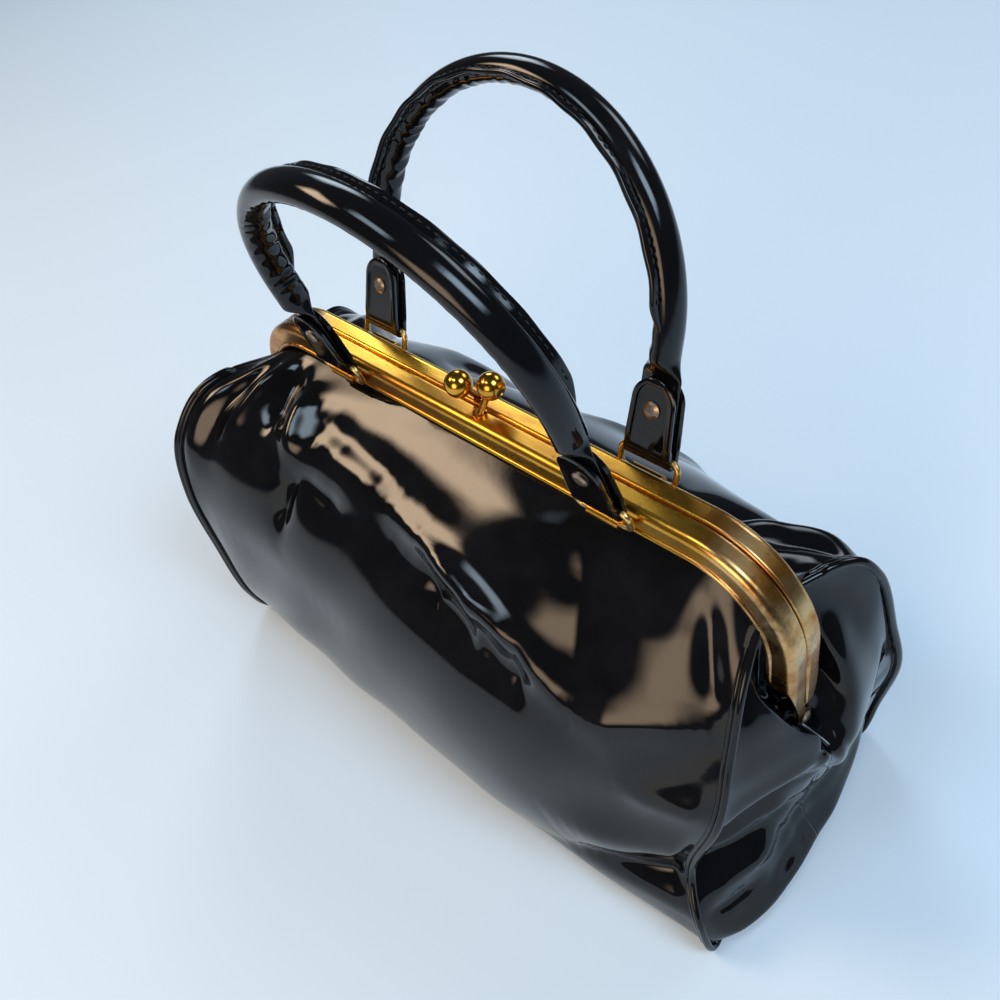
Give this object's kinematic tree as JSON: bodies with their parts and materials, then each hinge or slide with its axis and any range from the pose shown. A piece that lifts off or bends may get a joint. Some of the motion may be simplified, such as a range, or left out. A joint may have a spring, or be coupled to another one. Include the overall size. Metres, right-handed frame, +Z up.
{
  "type": "kiss lock frame purse",
  "caption": "Black patent vinyl handbag on a hinged gilt channel frame with a kiss lock clasp, boxy soft body, piped ends and padded arched handles on wire rings.",
  "frame": {"origin": "on the floor under the middle of the bag", "axes": "+X along the bag's length, -Y out of its front, +Z up"},
  "size_m": [0.316, 0.1515, 0.2909],
  "materials": {
    "patent_vinyl": "high gloss black patent",
    "gilt_metal": "polished gilt with worn edges",
    "rivet_metal": "dull bronze",
    "lining_cloth": "woven, matt",
    "board": "pulp board",
    "filler_cord": "twisted fibre"
  },
  "bodies": {
    "bag": {"base_wrap": "patent_vinyl", "left_gusset": "patent_vinyl", "right_gusset": "patent_vinyl", "left_piping": "patent_vinyl", "right_piping": "patent_vinyl", "base_board": "board", "base_lining": "lining_cloth", "left_hinge_rivet": "rivet_metal", "right_hinge_rivet": "rivet_metal"},
    "front_frame": {"front_frame": "gilt_metal", "front_panel": "patent_vinyl", "front_left_wing": "patent_vinyl", "front_right_wing": "patent_vinyl", "front_lining": "lining_cloth", "front_channel_cord": "filler_cord", "front_clasp_post": "gilt_metal", "front_clasp_ball": "gilt_metal", "front_left_lug": "gilt_metal", "front_right_lug": "gilt_metal"},
    "rear_frame": {"rear_frame": "gilt_metal", "rear_panel": "patent_vinyl", "rear_left_wing": "patent_vinyl", "rear_right_wing": "patent_vinyl", "rear_lining": "lining_cloth", "rear_channel_cord": "filler_cord", "rear_clasp_post": "gilt_metal", "rear_clasp_ball": "gilt_metal", "rear_left_lug": "gilt_metal", "rear_right_lug": "gilt_metal"},
    "front_rings": {"front_left_ring": "gilt_metal", "front_right_ring": "gilt_metal"},
    "rear_rings": {"rear_left_ring": "gilt_metal", "rear_right_ring": "gilt_metal"},
    "front_handle": {"front_grip": "patent_vinyl", "front_core": "filler_cord", "front_welt": "patent_vinyl", "front_left_tab": "patent_vinyl", "front_right_tab": "patent_vinyl", "front_left_rivet": "rivet_metal", "front_right_rivet": "rivet_metal"},
    "rear_handle": {"rear_grip": "patent_vinyl", "rear_core": "filler_cord", "rear_welt": "patent_vinyl", "rear_left_tab": "patent_vinyl", "rear_right_tab": "patent_vinyl", "rear_left_rivet": "rivet_metal", "rear_right_rivet": "rivet_metal"}
  },
  "joints": [
    {"name": "front_frame_open", "type": "hinge", "parent": "bag", "child": "front_frame", "pos_m": [0, 0, 0.092], "axis": [1, 0, 0], "range_deg": [0, 30]},
    {"name": "rear_frame_open", "type": "hinge", "parent": "bag", "child": "rear_frame", "pos_m": [0, 0, 0.092], "axis": [-1, 0, 0], "range_deg": [0, 30]},
    {"name": "front_rings_swing", "type": "hinge", "parent": "front_frame", "child": "front_rings", "pos_m": [0, -0.01165, 0.165], "axis": [1, 0, 0], "range_deg": [-5, 60]},
    {"name": "rear_rings_swing", "type": "hinge", "parent": "rear_frame", "child": "rear_rings", "pos_m": [0, 0.01165, 0.165], "axis": [-1, 0, 0], "range_deg": [-8, 53]},
    {"name": "front_handle_swing", "type": "hinge", "parent": "front_rings", "child": "front_handle", "pos_m": [0, -0.01352, 0.1738], "axis": [1, 0, 0], "range_deg": [-7, 35]},
    {"name": "rear_handle_swing", "type": "hinge", "parent": "rear_rings", "child": "rear_handle", "pos_m": [0, 0.01458, 0.17351], "axis": [-1, 0, 0], "range_deg": [-10, 35]}
  ],
  "couplings": [
    {"joint": "rear_frame_open", "follows": "front_frame_open", "ratio": 1}
  ]
}
